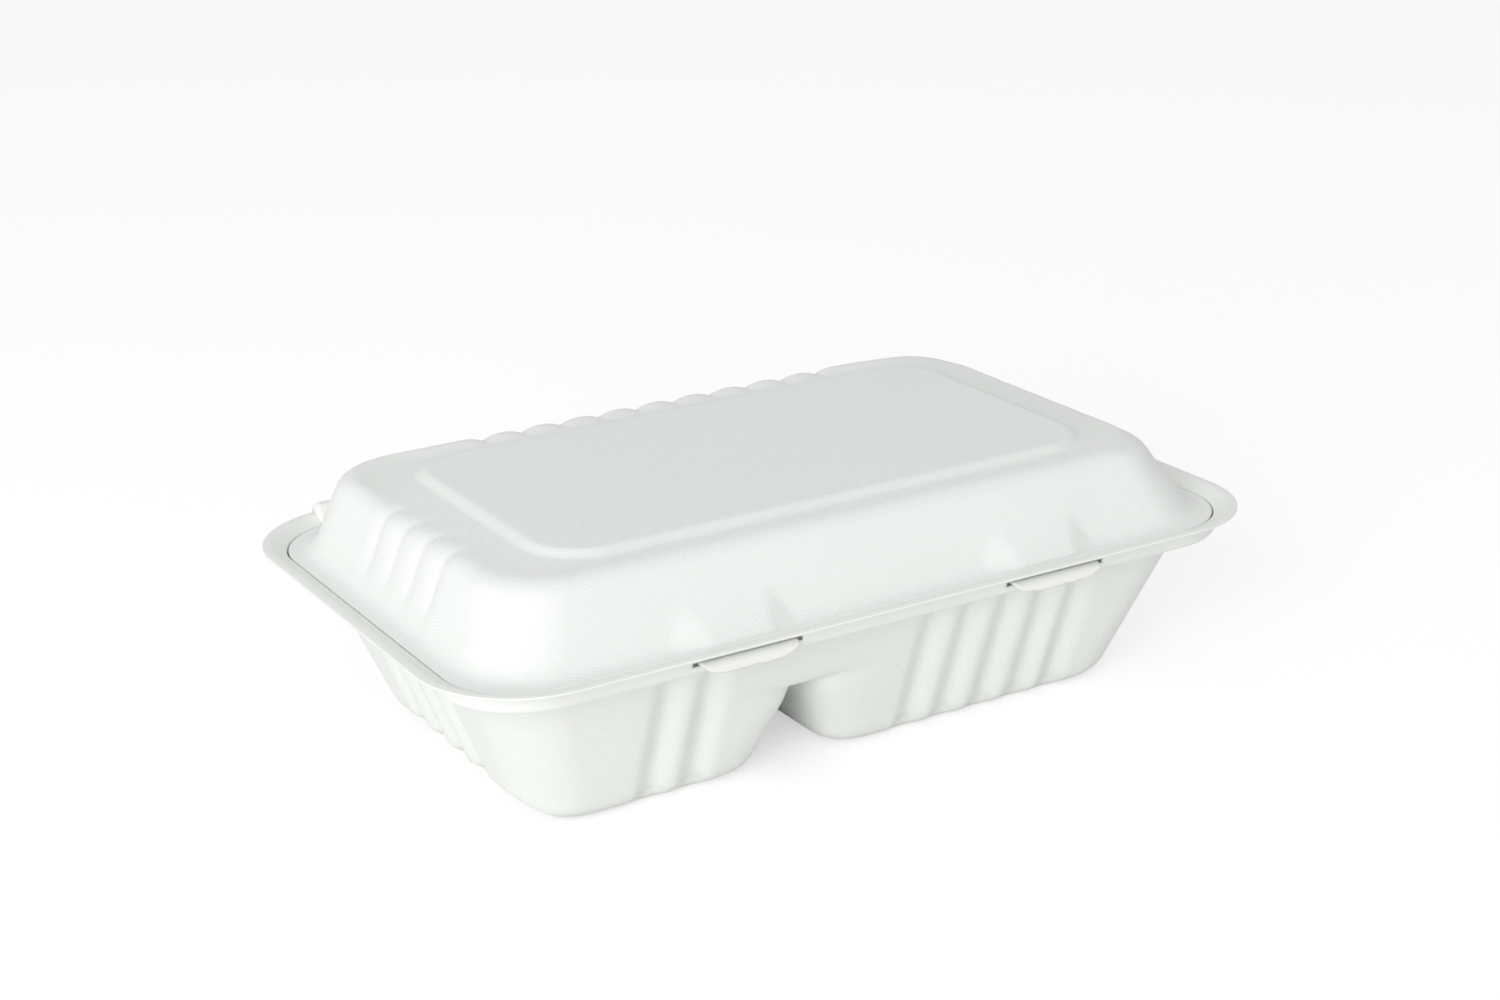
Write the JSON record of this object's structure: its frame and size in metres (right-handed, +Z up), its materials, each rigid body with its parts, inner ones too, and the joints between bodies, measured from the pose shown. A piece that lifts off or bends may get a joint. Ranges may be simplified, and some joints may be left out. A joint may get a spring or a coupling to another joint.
{
  "type": "meal box",
  "caption": "Moulded plant-fibre meal box with unequal compartments, fluted walls, a domed hinged lid and lock tabs.",
  "frame": {"origin": "middle of the box on the surface it stands on, under the centre of its rim", "axes": "+X along the length, towards the large compartment; -Y towards the side that opens, +Y towards the hinge; +Z up"},
  "size_m": [0.24, 0.15, 0.07],
  "materials": {
    "tray_fibre": "matte",
    "lid_fibre": "matte",
    "pressed_fibre": "matte"
  },
  "bodies": {
    "tray": {"tray": "tray_fibre", "hinge_fold": "pressed_fibre"},
    "lid": {"lid": "lid_fibre", "left_lock_tab": "pressed_fibre", "right_lock_tab": "pressed_fibre"}
  },
  "joints": [
    {"name": "lid_hinge", "type": "hinge", "parent": "tray", "child": "lid", "pos_m": [0, 0.075, 0.0515], "axis": [-1, 0, 0], "range_deg": [0, 180], "deforming": ["hinge_fold", "left_lock_tab", "right_lock_tab"]}
  ]
}
